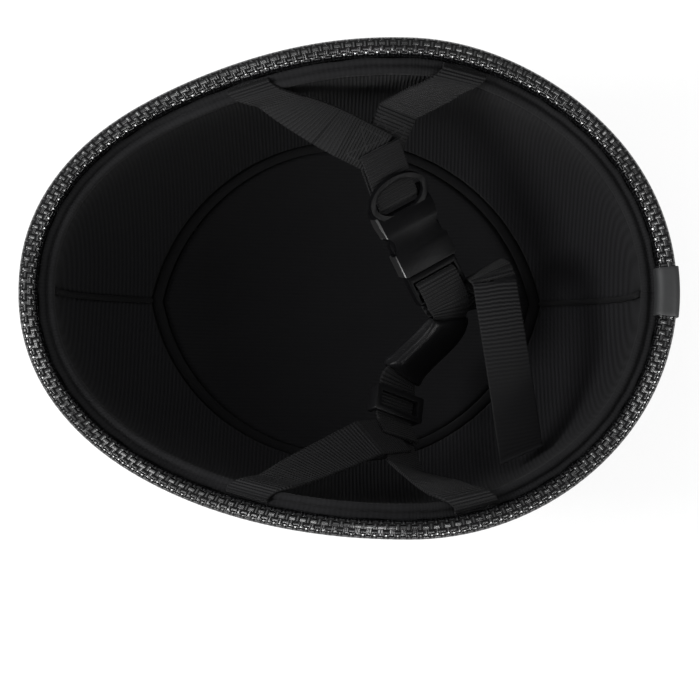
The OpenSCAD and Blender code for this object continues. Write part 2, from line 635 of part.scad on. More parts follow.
tail_a = 303.4;
tail_z = 86;
tail_cut = 15;
module strap_tail() color([0.13, 0.13, 0.135]) {
    end = on_wall(lining_in + tail_gap, lining_high, tail_a, tail_z);
    start = beside_buckle(tail_loop[0] + [1.1, -0.05, 0.3]);
    side = unit(on_wall(lining_in, lining_high, tail_a - 2, tail_z) - on_wall(lining_in, lining_high, tail_a + 2, tail_z));
    stops = [0, 0.08, 0.2, 0.4, 0.6, 0.8, 1];
    ribbon([for (k = stops) mix(start, end, k) + [0, 0, 3 * sin(180 * k)]], [for (k = stops) mix(-buckle_v, side, k)],
        slant = tan(tail_cut));
}

module strap_slider() color([0.06, 0.06, 0.065]) place(slider_at, slider_u, slider_v, slider_n) {
    half = strap_t / 2 + gap;
    bar = 2.2;
    rail = (slider_w - strap_w) / 2 - gap;
    for (side = [-1, 1]) translate([0, side * (slider_w - rail) / 2, -half - bar])
        linear_extrude(2 * (half + bar)) polygon(round_outline(slider_l, rail, 1, 4));
    for (end = [-1, 1]) translate([end * (slider_l - 2.6) / 2, 0, half])
        translate([-1.3, -slider_w / 2 + 1, 0]) cube([2.6, slider_w - 2, bar]);
    translate([-1.3, -slider_w / 2 + 1, -half - bar]) cube([2.6, slider_w - 2, bar]);
}

outer_shell();
impact_liner();
edge_trim();
trim_clip();
left_side_lining();
right_side_lining();
crown_lining();
crown_piping();
lining_hem();
left_front_strap();
left_rear_strap();
right_front_strap();
right_rear_strap();
strap_rivets();
rivet_washers();
left_yoke_loop();
female_buckle();
male_buckle();
front_latch();
rear_latch();
chin_strap();
chin_pad();
strap_tail();
strap_slider();
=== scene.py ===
import math

import bmesh
import bpy
from mathutils import Matrix, Vector


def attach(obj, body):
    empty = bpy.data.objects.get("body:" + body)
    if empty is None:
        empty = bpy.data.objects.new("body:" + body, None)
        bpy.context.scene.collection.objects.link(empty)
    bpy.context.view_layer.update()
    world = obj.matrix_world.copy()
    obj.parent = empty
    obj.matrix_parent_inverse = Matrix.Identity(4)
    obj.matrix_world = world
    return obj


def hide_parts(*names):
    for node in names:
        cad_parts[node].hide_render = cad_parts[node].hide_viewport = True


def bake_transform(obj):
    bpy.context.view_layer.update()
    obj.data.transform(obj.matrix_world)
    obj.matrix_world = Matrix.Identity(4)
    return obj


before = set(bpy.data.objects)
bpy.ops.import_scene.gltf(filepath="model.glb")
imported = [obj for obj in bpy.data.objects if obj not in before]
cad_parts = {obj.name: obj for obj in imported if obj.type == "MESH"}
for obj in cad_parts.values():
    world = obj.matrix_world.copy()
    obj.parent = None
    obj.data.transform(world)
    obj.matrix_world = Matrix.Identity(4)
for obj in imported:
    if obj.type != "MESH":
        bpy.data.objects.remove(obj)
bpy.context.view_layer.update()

# The camera looks down into the helmet, which lies on its crown, from a little towards the
# right ear. It sees the whole rim, set above the middle of the square picture.
camera_target = Vector((0, 0, 0.124))
camera_distance = 0.95
camera_tilt = math.radians(4.4)
camera_roll = math.radians(0.36)
half_view = 0.15821
camera_shift_x, camera_shift_y = 0.0021, -0.0864

camera_back = Vector((0, -math.sin(camera_tilt), math.cos(camera_tilt)))
level_up = Vector((0, math.cos(camera_tilt), math.sin(camera_tilt)))
level_right = Vector((1, 0, 0))
camera_right = level_right * math.cos(camera_roll) + level_up * math.sin(camera_roll)
camera_up = level_up * math.cos(camera_roll) - level_right * math.sin(camera_roll)
camera_data = bpy.data.cameras.new("camera")
camera_data.angle = 2 * math.atan(half_view)
camera_data.shift_x = camera_shift_x
camera_data.shift_y = camera_shift_y
camera = bpy.data.objects.new("camera", camera_data)
bpy.context.scene.collection.objects.link(camera)
turn = Matrix((camera_right, camera_up, camera_back)).transposed().to_4x4()
camera.matrix_world = Matrix.Translation(camera_target + camera_back * camera_distance) @ turn
bpy.context.scene.camera = camera
bpy.context.scene.view_settings.view_transform = "Standard"


# A low lamp stands off the brow, a wide soft one hangs over the opening, and five soft panels
# round the right ear's side show only in reflections, along the rim.
def lamp(name, azimuth, elevation, distance, size, watts):
    """A square lamp that faces the helmet. Angles are in degrees and lengths in metres."""
    turn_x, turn_z = math.radians(90 - elevation), math.radians(azimuth + 90)
    light = bpy.data.lights.new(name, "AREA")
    light.size = size
    light.energy = watts
    placed = bpy.data.objects.new(name, light)
    way = Matrix.Rotation(turn_z, 4, "Z") @ Matrix.Rotation(turn_x, 4, "X")
    placed.matrix_world = Matrix.Translation(camera_target) @ way @ Matrix.Translation((0, 0, distance))
    bpy.context.scene.collection.objects.link(placed)
    return placed


lamp("brow_lamp", azimuth=184, elevation=34, distance=0.9, size=0.3, watts=7.4)
lamp("top_lamp", azimuth=130, elevation=62, distance=1.4, size=1.0, watts=2.2)
for side, azimuth in enumerate((196, 232, 268, 304, 338)):
    rim_light = lamp(f"rim_light_{side}", azimuth, elevation=30, distance=0.9, size=0.28, watts=12.0)
    rim_light.visible_diffuse = False


class Wire:
    """One output in a node tree. Arithmetic on it adds Math nodes."""

    def __init__(self, nodes, socket):
        self.nodes = nodes
        self.socket = socket

    def math(self, operation, *values):
        return self.nodes.node("ShaderNodeMath", {"operation": operation}, dict(enumerate(values)))

    def __add__(self, other):
        return self.math("ADD", self, other)

    def __sub__(self, other):
        return self.math("SUBTRACT", self, other)

    def __rsub__(self, other):
        return self.math("SUBTRACT", other, self)

    def __mul__(self, other):
        return self.math("MULTIPLY", self, other)

    def __truediv__(self, other):
        return self.math("DIVIDE", self, other)

    def __mod__(self, other):
        return self.math("FLOORED_MODULO", self, other)

    def __lt__(self, other):
        return self.math("LESS_THAN", self, other)

    def __gt__(self, other):
        return self.math("GREATER_THAN", self, other)

    __radd__ = __add__
    __rmul__ = __mul__

    def floor(self):
        return self.math("FLOOR", self)

    def size(self):
        return self.math("ABSOLUTE", self)

    def wave(self, pitch):
        """Ridges with that pitch, from 0 in the grooves to 1 on the crests."""
        return self.math("SINE", self * (2 * math.pi / pitch)) * 0.5 + 0.5


class Nodes:
    """A node tree in which one call makes a node, sets it up and links it."""

    def __init__(self, tree):
        self.tree = tree

    def set(self, socket, value):
        if isinstance(value, Wire):
            self.tree.links.new(value.socket, socket)
        else:
            socket.default_value = value

    def node(self, kind, settings, inputs, output=0):
        made = self.tree.nodes.new(kind)
        for key, value in settings.items():
            setattr(made, key, value)
        for key, value in inputs.items():
            self.set(made.inputs[key], value)
        return Wire(self, made.outputs[output])

    def clamped_line(self, value, slope, offset):
        """The value times slope plus offset, kept from 0 to 1."""
        settings = {"operation": "MULTIPLY_ADD", "use_clamp": True}
        return self.node("ShaderNodeMath", settings, {0: value, 1: slope, 2: offset})

    def show(self, output, share, plain, bright):
        """Camera, glossy and transmission rays see that share of bright. Spread light sees plain."""
        rays = ("Is Camera Ray", "Is Glossy Ray", "Is Transmission Ray")
        camera_ray, glossy, through = (self.node("ShaderNodeLightPath", {}, {}, ray) for ray in rays)
        factor = (camera_ray + glossy + through > 0.5) * share
        shown = self.node("ShaderNodeMixShader", {}, {0: factor, 1: plain, 2: bright})
        self.set(self.tree.nodes[output].inputs["Surface"], shown)


class Finish(Nodes):
    """The material of one kind of surface.

    Its maps read the piece's own UV map in millimetres, or its Object coordinates.
    """

    def __init__(self, name, roughness, **sockets):
        self.material = bpy.data.materials.new(name)
        self.material.use_nodes = True
        super().__init__(self.material.node_tree)
        self.shader = self.tree.nodes["Principled BSDF"]
        self.set(self.shader.inputs["Roughness"], roughness)
        for socket, value in sockets.items():
            self.set(self.shader.inputs[socket.replace("_", " ")], value)

    def split(self, vector):
        parts = self.node("ShaderNodeSeparateXYZ", {}, {0: vector}).socket.node
        return [Wire(self, socket) for socket in parts.outputs]

    def chart(self):
        """Along and across the piece, in millimetres."""
        return self.split(self.node("ShaderNodeUVMap", {"uv_map": "UVMap"}, {}))[:2]

    def space(self):
        return self.node("ShaderNodeTexCoord", {}, {}, "Object")

    def noise(self, scale, detail):
        inputs = {"Vector": self.space(), "Scale": scale, "Detail": detail}
        return self.node("ShaderNodeTexNoise", {}, inputs)

    def cells(self, scale):
        """Distance to the edges of a net of small cells."""
        inputs = {"Vector": self.space(), "Scale": scale}
        return self.node("ShaderNodeTexVoronoi", {"feature": "DISTANCE_TO_EDGE"}, inputs)

    def color(self, factor, low, high):
        """The surface's colour, from low to high as the factor goes from 0 to 1."""
        settings = {"data_type": "RGBA", "clamp_factor": True}
        mixed = self.node("ShaderNodeMix", settings, {0: factor, 6: (*low, 1), 7: (*high, 1)}, 2)
        self.set(self.shader.inputs["Base Color"], mixed)

    def relief(self, height, depth):
        """Bumps as high as depth, in metres, where the height is 1."""
        bump = self.node("ShaderNodeBump", {}, {"Strength": 1.0, "Distance": depth, "Height": height})
        self.set(self.shader.inputs["Normal"], bump)


def smooth_object(name, shape):
    """Turns a bmesh into a smooth object of the scene."""
    data = bpy.data.meshes.new(name)
    shape.to_mesh(data)
    shape.free()
    data.shade_smooth()
    made = bpy.data.objects.new(name, data)
    bpy.context.scene.collection.objects.link(made)
    return made


# The world lights the helmet evenly and looks pale where it is seen or reflected. The floor
# looks white and keeps the helmet's shadow.
world = bpy.data.worlds.new("studio")
world.use_nodes = True
bpy.context.scene.world = world
studio = Nodes(world.node_tree)
room = studio.tree.nodes["Background"]
studio.set(room.inputs["Color"], (1, 1, 1, 1))
studio.set(room.inputs["Strength"], 0.62)
pale = studio.node("ShaderNodeBackground", {}, {"Strength": 1.0})
studio.show("World Output", 1.0, Wire(studio, room.outputs[0]), pale)

floor_mesh = bmesh.new()
bmesh.ops.create_grid(floor_mesh, x_segments=1, y_segments=1, size=3)
floor = smooth_object("floor", floor_mesh)
floor_finish = Finish("pale_floor", 0.9, Base_Color=(0.85, 0.85, 0.85, 1), Specular_IOR_Level=0.1)
lit = floor_finish.node("ShaderNodeEmission", {}, {"Color": (1, 1, 1, 1), "Strength": 1.18})
surface = Wire(floor_finish, floor_finish.shader.outputs[0])
floor_finish.show("Material Output", 0.7, surface, lit)
floor.data.materials.append(floor_finish.material)

# The outer shell is one moulding of black ABS with a painted gloss, rounded at the crown and
# upright at the rim. It lies on its crown, so the rim stands highest at the ear lobes.
MM = 0.001
helmet_l, helmet_w = 283.8, 212.0
upright_h, crown_x, widest_x, fullness, brow_fullness = 102.0, 4.0, 26.0, 2.12, 0.15
brow_h, nape_h, ear_h, ear_x, ear_half = 122.0, 126.0, 147.0, 12.0, 104.0
clip_wall = 1.2
shell_out, shell_in, shell_t, rim_drop = 2.25, 5.75, 3.5, 2.25
shell_foot, shell_bowl_share = -0.35, 0.9


def mix(a, b, k):
    return a + (b - a) * k


def smooth(k):
    k = min(1.0, max(0.0, k))
    return k * k * (3 - 2 * k)


def plan(inset, r, a):
    """Point of a ring of the bowl: r is 0 at the crown and 1 on the wall, a turns from the nape."""
    c, s = math.cos(math.radians(a)), math.sin(math.radians(a))
    power = 2 / (2 + brow_fullness * r * r) if c < 0 else 1
    shift = (widest_x + clip_wall / 2) * r * r
    reach = helmet_l / 2 + (shift if c < 0 else -shift) - inset
    x = mix(crown_x, widest_x, r * r) + r * reach * math.copysign(abs(c) ** power, c)
    return x, r * (helmet_w / 2 - inset) * math.copysign(abs(s) ** power, s)


def edge(a):
    x = plan(0, 1, a)[0]
    base = mix(brow_h, nape_h, smooth(x / helmet_l + 0.5))
    k = min(1, abs(x - ear_x) / ear_half)
    return base + (ear_h - base) * (1 + math.cos(math.pi * k)) / 2


def on_bowl(inset, low, a, lean):
    """Point on the rounded part: lean is 0 at the crown and 90 where the wall is upright."""
    lean = math.radians(min(90, max(0, lean)))
    z = upright_h - (upright_h - low) * max(0, math.cos(lean)) ** (2 / fullness)
    return Vector((*plan(inset, math.sin(lean) ** (2 / fullness), a), z))


def on_edge(inset, rise, a):
    return Vector((*plan(inset, 1, a), edge(a) + rise))


def at_share(items, share):
    """The item at that share of the list's length, from 0 at the first to 1 at the last."""
    return items[round(share * (len(items) - 1))]


def loft(name, columns, rows, place, chart):
    """A grid whose corners go where place(s, t) says, both from 0 to 1.

    Its rims that meet are joined, and those that are left open are closed.
    """
    grid = bmesh.new()
    layer = grid.loops.layers.uv.new("UVMap")
    bmesh.ops.create_grid(grid, x_segments=columns, y_segments=rows, size=1, calc_uvs=True)
    for face in grid.faces:
        for corner in face.loops:
            corner[layer].uv = chart(*corner[layer].uv)
    for corner in grid.verts:
        corner.co = place((corner.co.x + 1) / 2, (corner.co.y + 1) / 2) * MM
    bmesh.ops.remove_doubles(grid, verts=grid.verts, dist=2e-6)
    bmesh.ops.holes_fill(grid, edges=grid.edges, sides=0)
    bmesh.ops.recalc_face_normals(grid, faces=grid.faces)
    return smooth_object(name, grid)


def dress(made, finish, node):
    """Gives a new piece its finish and lets it stand for a CAD node."""
    made.data.materials.append(finish.material)
    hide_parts(node)
    return made


def repaint(node, finish):
    """Gives a CAD node that is shown as it is another finish."""
    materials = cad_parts[node].data.materials
    materials.clear()
    materials.append(finish.material)


def shell_corner(s, t):
    """The outer face goes up to the rim and the inner one back. The crown is flat where it rests."""
    inset, low, way = (shell_out, shell_foot, t * 2) if t < 0.5 else (shell_in, shell_t, 2 - t * 2)
    if way < shell_bowl_share:
        point = on_bowl(inset, low, 360 * s, 90 * way / shell_bowl_share)
    else:
        point = on_edge(inset, -rim_drop, 360 * s)
        point.z = mix(upright_h, point.z, (way - shell_bowl_share) / (1 - shell_bowl_share))
    point.z = max(point.z, 0)
    return point


shell = loft("outer_shell_gloss", 192, 120, shell_corner, lambda s, t: (700 * s, 300 * t))
gloss = Finish("black_gloss_paint", 0.16, Coat_Weight=0.5, Coat_Roughness=0.06)
specks = gloss.noise(900, 3)
gloss.color(specks, (0.006, 0.006, 0.0065), (0.011, 0.011, 0.012))
gloss.relief(gloss.noise(60, 2) + specks * 0.1, 0.00004)
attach(dress(shell, gloss, "outer_shell"), "helmet")

# The impact liner is moulded in black polystyrene beads and fills the shell from the crown up
# to below the rim, with a pocket for each strap's rivet. The linings hide it.
beads = Finish("black_bead_foam", 0.8, Specular_IOR_Level=0.05)
cells = beads.cells(330.0)
beads.color(cells * 3, (0.003, 0.003, 0.003), (0.0055, 0.0055, 0.006))
beads.relief(cells.math("MINIMUM", cells * 4, 1.0), 0.0001)
repaint("impact_liner", beads)

# The edge trim is a U of soft black vinyl pressed over the shell's rim, embossed with a basket
# weave. Its two ends meet at the nape, under the clip.
trim_w, trim_r, trim_wall, outer_leg, inner_leg = 8.0, 3.0, 2.2, 11.0, 8.0
trim_seam = 0.35


def arc(x, y, r, first, last, count):
    """Points of an arc, with both of its ends."""
    angles = [math.radians(mix(first, last, i / count)) for i in range(count + 1)]
    return [(x + r * math.cos(k), y + r * math.sin(k)) for k in angles]


def run(start, end, count):
    """Points between the ends of a straight line, without them."""
    shares = [i / count for i in range(1, count)]
    return [(mix(start[0], end[0], k), mix(start[1], end[1], k)) for k in shares]


def lengths(points):
    """How far along the points each of them is."""
    total = [0.0]
    for a, b in zip(points, points[1:]):
        total.append(total[-1] + (Vector(b) - Vector(a)).length)
    return total


lip = trim_wall / 2
trim_profile = [
    *arc(lip, -outer_leg + lip, lip, 270, 180, 3),
    *run((0, -outer_leg + lip), (0, -trim_r), 5),
    *arc(trim_r, -trim_r, trim_r, 180, 90, 8),
    *run((trim_r, 0), (trim_w - trim_r, 0), 3),
    *arc(trim_w - trim_r, -trim_r, trim_r, 90, 0, 8),
    *run((trim_w, -trim_r), (trim_w, -inner_leg + lip), 3),
    *arc(trim_w - lip, -inner_leg + lip, lip, 0, -90, 3),
    (trim_w - trim_wall, -inner_leg + 0.4),
    (trim_w - trim_wall, -trim_wall),
    (trim_wall, -trim_wall),
    (trim_wall, -outer_leg + 0.4),
    (lip, -outer_leg),
]
trim_steps = 256
trim_across = lengths(trim_profile)
trim_turns = [mix(trim_seam, 360 - trim_seam, k / trim_steps) for k in range(trim_steps + 1)]
trim_along = lengths([on_edge(trim_r, 0, a) for a in trim_turns])


def trim_corner(s, t):
    inset, rise = at_share(trim_profile, t)
    return on_edge(inset, rise, mix(trim_seam, 360 - trim_seam, s))


def trim_chart(s, t):
    return at_share(trim_along, s), at_share(trim_across, t)


trim = loft("edge_trim_weave", trim_steps, len(trim_profile) - 1, trim_corner, trim_chart)
vinyl = Finish("embossed_vinyl", 0.2, Specular_IOR_Level=0.12, Coat_IOR=1.48, Coat_Roughness=0.18)
along, across = vinyl.chart()
cell = 2.4
lengthwise = ((along / cell).floor() + (across / cell).floor()) % 2 > 0.5
lengthways = lengthwise * (across - cell / 4).wave(cell)
crossways = (1 - lengthwise) * (along - cell / 4).wave(cell)
strands = lengthways + crossways
crests = vinyl.clamped_line(strands, 3.6, -2.5)
# The weave's crests are painted lighter as a painted highlight, and its grooves darker as painted shade.
# The crests also carry the coat.
vinyl.color(crests, (0.002, 0.002, 0.0022), (0.012, 0.0125, 0.0135))
vinyl.set(vinyl.shader.inputs["Coat Weight"], crests)
vinyl.relief(strands + vinyl.noise(90, 3) * 0.5, 0.0005)
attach(dress(trim, vinyl, "edge_trim"), "helmet")

# The clip is a plain moulded sleeve snapped over the trim at the nape, where it hides the
# joint. Its ends are cut square and catch the light.
clip_l, clip_play = 22.0, 0.03
clip_half = math.degrees(math.asin(clip_l / helmet_w))
clip_in = trim_w + 0.05
clip_outer_leg, clip_inner_leg = 12.0, 10.5
clip_profile = [
    (-clip_wall, -clip_outer_leg),
    *arc(trim_r, -trim_r, trim_r + clip_wall, 180, 90, 8),
    *arc(clip_in - trim_r, -trim_r, trim_r + clip_wall, 90, 0, 8),
    (clip_in + clip_wall, -clip_inner_leg),
    (clip_in, -clip_inner_leg),
    *arc(clip_in - trim_r, -trim_r, trim_r + clip_play, 0, 90, 8),
    *arc(trim_r, -trim_r, trim_r + clip_play, 90, 180, 8),
    (-clip_play, -clip_outer_leg),
    (-clip_wall, -clip_outer_leg),
]


def clip_corner(s, t):
    inset, rise = at_share(clip_profile, t)
    return on_edge(inset, rise, mix(-clip_half, clip_half, s))


def soften(made, width, angle):
    """Rounds the sharp edges of a finished piece."""
    bevel = made.modifiers.new("rounded_edges", "BEVEL")
    bevel.width = width * MM
    bevel.segments = 2
    bevel.limit_method = "ANGLE"
    bevel.angle_limit = math.radians(angle)


clip = loft("trim_clip_sleeve", 12, len(clip_profile) - 1, clip_corner, lambda s, t: (clip_l * s, 44 * t))
soften(clip, 0.3, 40)
sleeve = Finish("grey_sleeve_rubber", 0.6, Specular_IOR_Level=0.16)
sleeve.color(sleeve.noise(220, 3), (0.012, 0.0125, 0.013), (0.02, 0.021, 0.022))
sleeve.relief(sleeve.noise(1400, 2), 0.00005)
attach(dress(clip, sleeve, "trim_clip"), "helmet")

# The side linings are two panels of foam-backed ribbed knit, glued inside the liner. They meet
# in a corded seam at the brow and at the nape, and on the sides their ribs run down from the rim.
lining_out, lining_in, lining_low, lining_high = 11.45, 14.45, 22.4, 25.4
crown_half_l, crown_half_w, crown_mid_x = 89.0, 74.0, -1.0
liner_in, liner_high, layer = 11.0, 21.95, 0.45
piping_d, ease, hem_drop, hem_h = 3.4, 0.25, 6.6, 5.4
lining_half_t, lining_bend, seam_half_a = 1.5, 0.74, 0.2
rib_pitch, loop_pitch = 1.65, 1.1
border_r = (crown_half_l**2 + crown_half_w**2) / (2 * crown_half_w)
piping_room = (piping_d / 2 + ease) / (helmet_w / 2 - lining_in)


def border(a):
    """Radius at which the crown lining ends: two arcs that meet at the brow and the nape."""
    low, high = 0.2, 1.0
    for halving in range(22):
        r = (low + high) / 2
        x, y = plan(liner_in, r, a)
        inside = math.hypot(x - crown_mid_x, abs(y) + border_r - crown_half_w) < border_r
        low, high = (r, high) if inside else (low, r)
    return low


def lean_of(r):
    return math.degrees(math.asin(min(1, r) ** (fullness / 2)))


def lining_point(a, depth, way, first_lean):
    """A point of a side lining.

    Its depth is from the glued face, and way goes up from the crown's piping to the hem.
    """
    if way < lining_bend:
        lean = mix(first_lean, 90, way / lining_bend)
        return on_bowl(lining_out + depth, lining_low + depth, a, lean)
    point = on_edge(lining_out + depth, -hem_drop - hem_h - ease, a)
    point.z = mix(upright_h, point.z, (way - lining_bend) / (1 - lining_bend))
    return point


def pillow(k, edge_share):
    """How full a pad is at k between its edges: rounded off over a share of its width at each."""
    near = min(k, 1 - k) / edge_share
    return 1.0 if near >= 1 else math.sqrt(max(0, 1 - (1 - near) ** 2))


def there_and_back(t):
    """Share of the way across a pad and its side: 1 is the face that shows, -1 the one behind."""
    return (t * 2, 1) if t < 0.5 else (2 - t * 2, -1)


def side_lining(name, start):
    turns = 128

    def angle(s):
        return start + mix(seam_half_a, 180 - seam_half_a, s)

    leans = [lean_of(border(angle(i / turns)) + piping_room) for i in range(turns + 1)]

    def corner(s, t):
        way, side = there_and_back(t)
        full = min(pillow(way, 0.013), pillow(s, 0.004))
        ripple = 0.14 * math.sin(31 * s + 3 * way) * math.sin(7 * way + 5 * s) * pillow(way, 0.2)
        depth = lining_half_t + side * lining_half_t * full + (ripple if side > 0 else 0)
        return lining_point(angle(s), depth, way, at_share(leans, s))

    return loft(name, turns, 120, corner, lambda s, t: (360 * s, 240 * t))


knit = Finish("ribbed_knit", 0.95, Specular_IOR_Level=0.02, Sheen_Weight=0.02, Sheen_Roughness=0.6)
x, y, z = knit.split(knit.space())
knit_ribs = (x * 1000 + knit.noise(14, 1) * 3).wave(rib_pitch)
knit_loops = (z * 1000 + y * 500).wave(loop_pitch)
knit_height = knit_ribs * 0.8 + knit_loops * 0.2
# The knit's colour follows its ribs: painted shade in the grooves, lighter on the crests, with a tone
# that varies at random.
knit_shade = knit_height * 0.8 + knit.noise(25, 2) * 0.35
knit.color(knit_shade, (0.0042, 0.0042, 0.0047), (0.0122, 0.0122, 0.0134))
knit.relief(knit_height + knit.noise(1500, 1) * 0.3, 0.0003)
for side, start in (("left", 0), ("right", 180)):
    lining = side_lining(f"{side}_side_knit", start)
    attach(dress(lining, knit, f"{side}_side_lining"), "helmet")

# The crown lining is a lens-shaped pad of the same knit over thicker foam, which drops between
# the side linings. Its ribs run from brow to nape.
crown_count, crown_mid_t, crown_edge_t = 160, 4.6, 3.0
crown_borders = [border(360 * k / crown_count) - piping_room for k in range(crown_count + 1)]


def crown_corner(s, t):
    k, side = there_and_back(t)
    r = at_share(crown_borders, s) * k
    full = pillow(1 - (1 - k) / 2, 0.02)
    thick = mix(crown_mid_t, crown_edge_t, k**3)
    puff = 0.2 * math.sin(9 * k) * math.cos(3 * math.tau * s) * (1 - k)
    depth = thick / 2 + side * full * thick / 2 + (puff if side > 0 else 0)
    return on_bowl(lining_out + depth, lining_low + depth, 360 * s, lean_of(r))


crown = loft("crown_pad_knit", crown_count, 96, crown_corner, lambda s, t: (160 * s, 120 * t))
crown_knit = Finish("crown_knit", 0.95, Specular_IOR_Level=0.02, Sheen_Weight=0.01, Sheen_Roughness=0.6)
x, y, z = crown_knit.split(crown_knit.space())
crown_ribs = (y * 1000 + crown_knit.noise(14, 1) * 3).wave(rib_pitch)
# The crown knit's colour follows its ribs: painted shade in the grooves, lighter on the crests, with a
# tone that varies at random.
crown_shade = crown_ribs * 0.7 + crown_knit.noise(25, 2) * 0.35
crown_knit.color(crown_shade, (0.0065, 0.0065, 0.007), (0.009, 0.009, 0.0097))
crown_knit.relief(crown_ribs * 0.8 + (x * 1000).wave(loop_pitch) * 0.2, 0.00012)
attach(dress(crown, crown_knit, "crown_lining"), "helmet")

# The piping is a cord covered in smooth bias tape, sewn round the crown lining. Two lengths of
# the same cord cover the seams of the side linings at the brow and at the nape.
piping_flat, piping_sunk = 1.3, 0.1
cord_raised, cord_r = 1.6, 0.4 * piping_d


def tube_point(centre, way, level_side, radius, k, flat=1):
    """A point of a cord's surface, with the cord pressed flat by that much."""
    side = (level_side - way * level_side.dot(way)).normalized()
    up = way.cross(side)
    return centre + (side * math.cos(k) * flat + up * math.sin(k) / flat) * radius


def piping_centre(a):
    lift = layer + piping_d / 2 - piping_sunk
    return on_bowl(liner_in + lift, liner_high + lift, a, lean_of(border(a)))


def piping_corner(s, t):
    a = 360 * s
    way = (piping_centre(a + 0.7) - piping_centre(a - 0.7)).normalized()
    side = way.cross(Vector((0, 0, 1))).normalized()
    return tube_point(piping_centre(a), way, side, piping_d / 2, -math.tau * t, piping_flat)


bias_tape = Finish("bias_tape", 0.85, Specular_IOR_Level=0.02, Sheen_Weight=0.02, Sheen_Roughness=0.5)
along, across = bias_tape.chart()
threads = (along + across).wave(0.7)
stitch = ((across - 8.2).size() < 0.35) * ((along % 3.0) < 2.2)
# The tape's colour follows its threads: painted shade between them, with a tone that varies at random.
tape_shade = threads * 0.6 + bias_tape.noise(60, 2) * 0.5
bias_tape.color(tape_shade, (0.0045, 0.0045, 0.0048), (0.009, 0.009, 0.0096))
bias_tape.relief(threads * 0.4 + bias_tape.noise(200, 2) - stitch, 0.0003)
tape_turn = math.pi * piping_d
piping = loft("crown_piping_tape", 320, 16, piping_corner, lambda s, t: (480 * s, tape_turn * t))
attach(dress(piping, bias_tape, "crown_piping"), "helmet")


def seam_cord(name, a):
    lift = piping_d / 2 + cord_raised
    first = lean_of(border(a) + piping_room)

    def centre(s):
        return lining_point(a, lift, s, first)

    def corner(s, t):
        way = (centre(min(1, s + 0.01)) - centre(max(0, s - 0.01))).normalized()
        radius = cord_r * pillow(mix(0.5, 1, s), 0.01) * pillow(mix(0, 0.5, s), 0.01)
        return tube_point(centre(s), way, Vector((0, 1, 0)), radius, math.tau * t)

    return loft(name, 96, 16, corner, lambda s, t: (110 * s, tape_turn * t))


for name, a in (("brow_seam_cord", 180), ("nape_seam_cord", 0)):
    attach(dress(seam_cord(name, a), bias_tape, "crown_piping"), "helmet")

# The hem is a rolled edge of the same cloth, which finishes the linings all round just below
# the trim. Its turned-in edge reaches back to the trim, and the straps come over it.
hem_out, hem_in = 11.2, 14.8
hem_r = (hem_in - hem_out) / 2
hem_reach = trim_w + 0.2
hem_profile = [
    *arc(hem_out + hem_r, -hem_drop - hem_r, hem_r, 0, 180, 10),
    (9.6, -hem_drop - 0.7),
    (hem_reach, -hem_drop + 0.2),
    (hem_reach, -hem_drop - 0.3),
    (9.6, -hem_drop - 1.3),
    *arc(hem_out + hem_r, -hem_drop - hem_h + hem_r, hem_r, 180, 360, 10),
    (hem_in, -hem_drop - hem_r),
]


def hem_corner(s, t):
    inset, rise = at_share(hem_profile, t)
    pucker = 0.12 * math.sin(300 * s) * math.sin(53 * s)
    return on_edge(mix(inset, hem_out + hem_r, pucker * 0.4), rise - 0.1 * pucker, 360 * s)


hem = loft("rolled_hem_cloth", 512, len(hem_profile) - 1, hem_corner, lambda s, t: (760 * s, 14.5 * t))
hem_cloth = Finish("rolled_hem", 0.9, Specular_IOR_Level=0.03, Sheen_Weight=0.03, Sheen_Roughness=0.5)
along, across = hem_cloth.chart()
hem_ribs = along.wave(rib_pitch)
hem_stitch = ((across - 11.0).size() < 0.4) * ((along % 3.4) < 2.5)
# The hem's colour partly follows its ribs, with painted shade in the grooves, and otherwise varies at
# random.
hem_shade = hem_ribs * 0.25 + hem_cloth.noise(50, 2) * 0.8
hem_cloth.color(hem_shade, (0.006, 0.006, 0.0065), (0.016, 0.016, 0.017))
hem_cloth.relief(hem_ribs * 0.2 + hem_cloth.noise(120, 2) * 1.2 - hem_stitch, 0.0004)
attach(dress(hem, hem_cloth, "lining_hem"), "helmet")

# Four straps of 20 mm polyester webbing are riveted to the shell behind the liner, come up
# between it and the rim, fold over the hem and run inwards, two and two, to their sewn ends.
strap_w, strap_t, strap_corner_r, strap_lap, rivet_drop = 20.0, 1.5, 0.6, 19.0, 27.0
strap_end_l, rivet_flat = 8.0, 6.0
pocket_in = shell_in + 0.75 + strap_t / 2
throat_in = trim_w + 0.85 + strap_t / 2
crest_rise = 0.95 + strap_t / 2 - hem_drop
strap_in = hem_in + 1.5 + strap_t / 2
pocket_route = [
    (pocket_in, -rivet_drop - strap_end_l),
    (pocket_in, -rivet_drop),
    (pocket_in, -rivet_drop + rivet_flat),
    (throat_in, -hem_drop - hem_h - 2),
    (throat_in + 0.1, crest_rise - 1.6),
    (hem_out, crest_rise - 0.1),
    ((hem_out + hem_in) / 2, crest_rise),
    (hem_in + 0.4, crest_rise - 0.4),
    (strap_in, crest_rise - 2.6),
    (strap_in + 2, -hem_drop - hem_h),
]
hem_crest, route_end = 6, 9
strap_lean = 9.0


def edge_step(a):
    """One degree's step along the helmet's edge."""
    return on_edge(0, 0, a + 0.5) - on_edge(0, 0, a - 0.5)


def edge_way(a):
    return edge_step(a).normalized()


def wall_turn(a, rise):
    """Where a line down the wall, square to the edge, has got to."""
    way = edge_way(a)
    return a - way.z * rise / edge_step(a).length / math.hypot(way.x, way.y)


def wall_point(a, inset, rise):
    way = edge_way(a)
    return Vector((*plan(inset, 1, wall_turn(a, rise)), edge(a) + math.hypot(way.x, way.y) * rise))


def inward(a):
    way = edge_way(a)
    return Vector((-way.y, way.x, 0)).normalized()


def in_plane(way, face):
    return (way - face * way.dot(face)).normalized()


